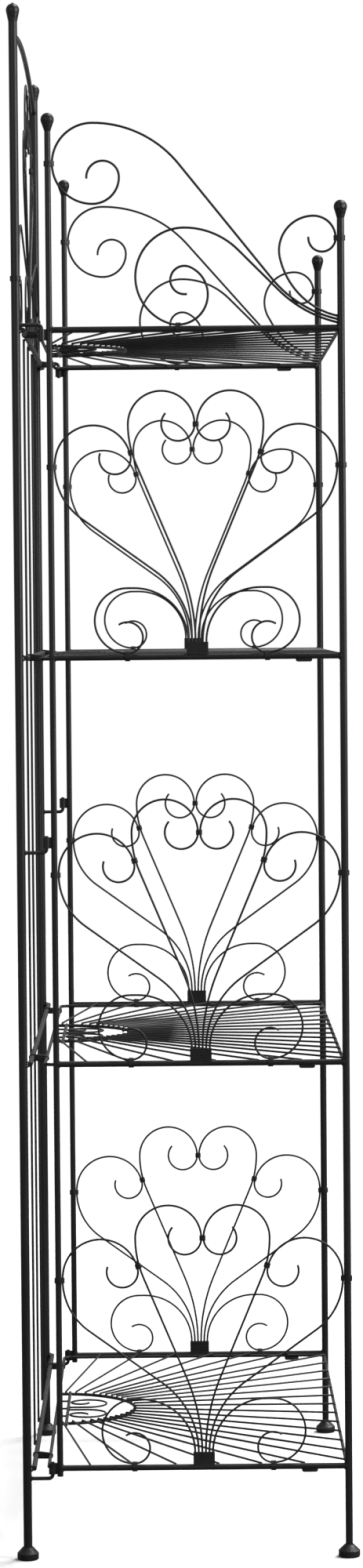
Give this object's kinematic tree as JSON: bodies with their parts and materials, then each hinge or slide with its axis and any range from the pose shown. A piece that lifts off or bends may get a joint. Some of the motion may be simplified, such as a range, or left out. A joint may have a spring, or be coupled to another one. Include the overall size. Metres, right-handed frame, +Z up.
{
  "type": "bakers rack",
  "caption": "Folding open etagere of thin black metal tube: ball-topped posts, fan-patterned wire shelves that hinge up at the back and side frames filled with scrollwork.",
  "frame": {"origin": "on the floor, at the middle of the bounding box's bottom face", "axes": "+Z up, -Y the open front, +X to the right seen from the front"},
  "size_m": [0.7556, 0.4056, 1.828],
  "materials": {
    "tube_paint": "satin black powder coat on steel tube",
    "rod_paint": "satin black powder coat on steel rod",
    "wire_paint": "satin black powder coat on bent steel wire",
    "collar_paint": "satin black powder coat over wrapped bands and cast binders",
    "casting_paint": "satin black powder coat on small castings",
    "hinge_paint": "satin black powder coat, rubbed at the hinges"
  },
  "bodies": {
    "back_panel": {"left_back_post": "tube_paint", "right_back_post": "tube_paint", "back_finials": "casting_paint", "back_feet": "casting_paint", "back_rails": "rod_paint", "back_uprights": "rod_paint", "back_arch": "rod_paint", "back_scrolls": "wire_paint", "back_scroll_binder": "collar_paint", "back_scroll_collars": "collar_paint", "left_hinge_pintles": "hinge_paint", "right_hinge_pintles": "hinge_paint"},
    "left_side_frame": {"left_rear_stile": "tube_paint", "left_front_leg": "tube_paint", "left_side_rails": "rod_paint", "left_top_scrolls": "wire_paint", "left_upper_fan": "wire_paint", "left_lower_fan": "wire_paint", "left_bottom_fan": "wire_paint", "left_fan_binders": "collar_paint", "left_scroll_collars": "collar_paint", "left_shelf_rests": "hinge_paint", "left_finials": "casting_paint", "left_front_foot": "casting_paint", "left_hinge_knuckles": "hinge_paint"},
    "right_side_frame": {"right_rear_stile": "tube_paint", "right_front_leg": "tube_paint", "right_side_rails": "rod_paint", "right_top_scrolls": "wire_paint", "right_upper_fan": "wire_paint", "right_lower_fan": "wire_paint", "right_bottom_fan": "wire_paint", "right_fan_binders": "collar_paint", "right_scroll_collars": "collar_paint", "right_shelf_rests": "hinge_paint", "right_finials": "casting_paint", "right_front_foot": "casting_paint", "right_hinge_knuckles": "hinge_paint"},
    "bottom_shelf": {"bottom_shelf_frame": "rod_paint", "bottom_shelf_wires": "wire_paint", "bottom_shelf_medallion": "wire_paint", "bottom_shelf_hinge_lugs": "hinge_paint"},
    "lower_shelf": {"lower_shelf_frame": "rod_paint", "lower_shelf_wires": "wire_paint", "lower_shelf_medallion": "wire_paint", "lower_shelf_hinge_lugs": "hinge_paint"},
    "upper_shelf": {"upper_shelf_frame": "rod_paint", "upper_shelf_wires": "wire_paint", "upper_shelf_medallion": "wire_paint", "upper_shelf_hinge_lugs": "hinge_paint"},
    "top_shelf": {"top_shelf_frame": "rod_paint", "top_shelf_wires": "wire_paint", "top_shelf_medallion": "wire_paint", "top_shelf_hinge_lugs": "hinge_paint"}
  },
  "joints": [
    {"name": "left_frame_hinge", "type": "hinge", "parent": "back_panel", "child": "left_side_frame", "pos_m": [-0.365, 0.16, 0], "axis": [0, 0, -1], "range_deg": [0, 135]},
    {"name": "right_frame_hinge", "type": "hinge", "parent": "back_panel", "child": "right_side_frame", "pos_m": [0.365, 0.16, 0], "axis": [0, 0, 1], "range_deg": [0, 135]},
    {"name": "bottom_shelf_hinge", "type": "hinge", "parent": "back_panel", "child": "bottom_shelf", "pos_m": [0, 0.1818, 0.108], "axis": [-1, 0, 0], "range_deg": [0, 85]},
    {"name": "lower_shelf_hinge", "type": "hinge", "parent": "back_panel", "child": "lower_shelf", "pos_m": [0, 0.1818, 0.587], "axis": [-1, 0, 0], "range_deg": [0, 85]},
    {"name": "upper_shelf_hinge", "type": "hinge", "parent": "back_panel", "child": "upper_shelf", "pos_m": [0, 0.1818, 1.065], "axis": [-1, 0, 0], "range_deg": [0, 85]},
    {"name": "top_shelf_hinge", "type": "hinge", "parent": "back_panel", "child": "top_shelf", "pos_m": [0, 0.1818, 1.448], "axis": [-1, 0, 0], "range_deg": [0, 85]}
  ]
}
